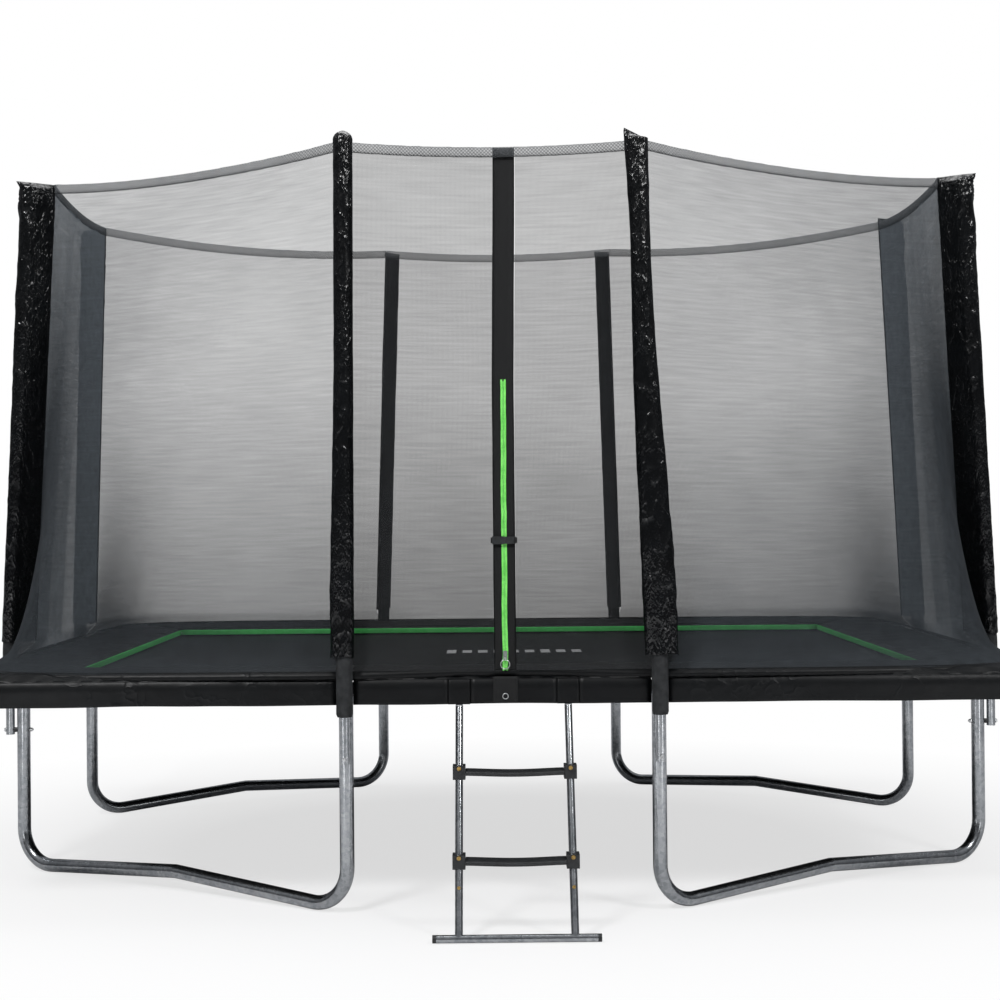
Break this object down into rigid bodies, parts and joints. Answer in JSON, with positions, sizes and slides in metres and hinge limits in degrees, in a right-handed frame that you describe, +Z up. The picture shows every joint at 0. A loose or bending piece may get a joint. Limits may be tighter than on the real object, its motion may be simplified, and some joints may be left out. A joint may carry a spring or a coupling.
{
  "type": "trampoline",
  "caption": "Rectangular garden trampoline with a high safety net on padded poles, a zipped door, a padded spring cover, curved tube legs and a hooked-on ladder.",
  "frame": {"origin": "centre of the bounding box on the ground the legs and the ladder stand on", "axes": "+X along the long side, to the right as seen from the ladder; -Y towards the ladder and the door; +Z up"},
  "size_m": [3.7701, 2.837, 2.6101],
  "materials": {
    "galvanised_steel": "satin",
    "zinc_hardware": "satin",
    "black_plastic": "matte",
    "brass_bolts": "satin",
    "grey_foam": "matte",
    "black_pvc": "gloss",
    "green_trim": "satin",
    "zip_green": "satin",
    "black_mat": "matte",
    "black_webbing": "matte",
    "black_net": "matte"
  },
  "bodies": {
    "frame": {"frame_front_rail": "galvanised_steel", "frame_back_rail": "galvanised_steel", "frame_left_rail": "galvanised_steel", "frame_right_rail": "galvanised_steel", "frame_corners": "galvanised_steel", "leg_sockets": "galvanised_steel", "leg_tubes_upper": "galvanised_steel", "leg_bend_front_left": "galvanised_steel", "leg_bend_front_right": "galvanised_steel", "leg_bend_back_left": "galvanised_steel", "leg_bend_back_right": "galvanised_steel", "poles_lower": "galvanised_steel", "poles_upper": "galvanised_steel", "pole_bolts": "zinc_hardware", "pole_nuts": "zinc_hardware", "springs_front": "zinc_hardware", "springs_back": "zinc_hardware", "springs_left": "zinc_hardware", "springs_right": "zinc_hardware", "door_ring": "zinc_hardware", "pole_spacers": "black_plastic", "buckle_socket": "black_plastic", "foam_lower": "grey_foam", "foam_upper": "grey_foam", "sleeves_inner": "black_pvc", "sleeves_outer": "black_pvc", "pad_front": "black_pvc", "pad_back": "black_pvc", "pad_left": "black_pvc", "pad_right": "black_pvc", "pad_skirts": "black_pvc", "pad_ladder_flaps": "black_pvc", "pad_trim": "green_trim", "zip_tape": "zip_green", "net_top_hem": "black_webbing", "door_band": "black_webbing", "door_patch": "black_webbing", "net_front_left": "black_net", "net_front_right": "black_net", "net_back": "black_net", "net_left": "black_net", "net_right": "black_net", "net_corner_front_left": "black_net", "net_corner_front_right": "black_net", "net_corner_back_left": "black_net", "net_corner_back_right": "black_net"},
    "mat": {"jumping_mat": "black_mat", "mat_hem": "black_webbing", "mat_rings": "zinc_hardware"},
    "ladder": {"ladder_rails": "galvanised_steel", "ladder_hooks": "galvanised_steel", "ladder_step_upper": "black_plastic", "ladder_step_lower": "black_plastic", "step_clamps": "black_plastic", "ladder_bolts": "brass_bolts", "ladder_foot": "galvanised_steel", "ladder_foot_caps": "black_plastic"},
    "zip_slider": {"zip_slider": "zinc_hardware"},
    "zip_pull": {"zip_pull_ring": "zinc_hardware"},
    "buckle_plug": {"buckle_plug": "black_plastic"}
  },
  "joints": [
    {"name": "mat_bounce", "type": "slide", "parent": "frame", "child": "mat", "axis": [0, 0, 1], "range_m": [-0.35, 0], "stiffness_N_per_m": 5000, "springref_m": 0.03, "deforming": ["springs_front", "springs_back", "springs_left", "springs_right"]},
    {"name": "ladder_swing", "type": "hinge", "parent": "frame", "child": "ladder", "pos_m": [0.037, -1.05203, 0.745], "axis": [-1, 0, 0], "range_deg": [0, 45], "deforming": ["pad_ladder_flaps"]},
    {"name": "zip_run", "type": "slide", "parent": "frame", "child": "zip_slider", "axis": [0, 0.0724, 0.9974], "range_m": [0, 0.35]},
    {"name": "zip_pull_swing", "type": "hinge", "parent": "zip_slider", "child": "zip_pull", "pos_m": [0.01, -1.07527, 0.84674], "axis": [-1, 0, 0], "range_deg": [0, 150]},
    {"name": "buckle_release", "type": "slide", "parent": "frame", "child": "buckle_plug", "axis": [1, 0, 0], "range_m": [0, 0.022]}
  ]
}
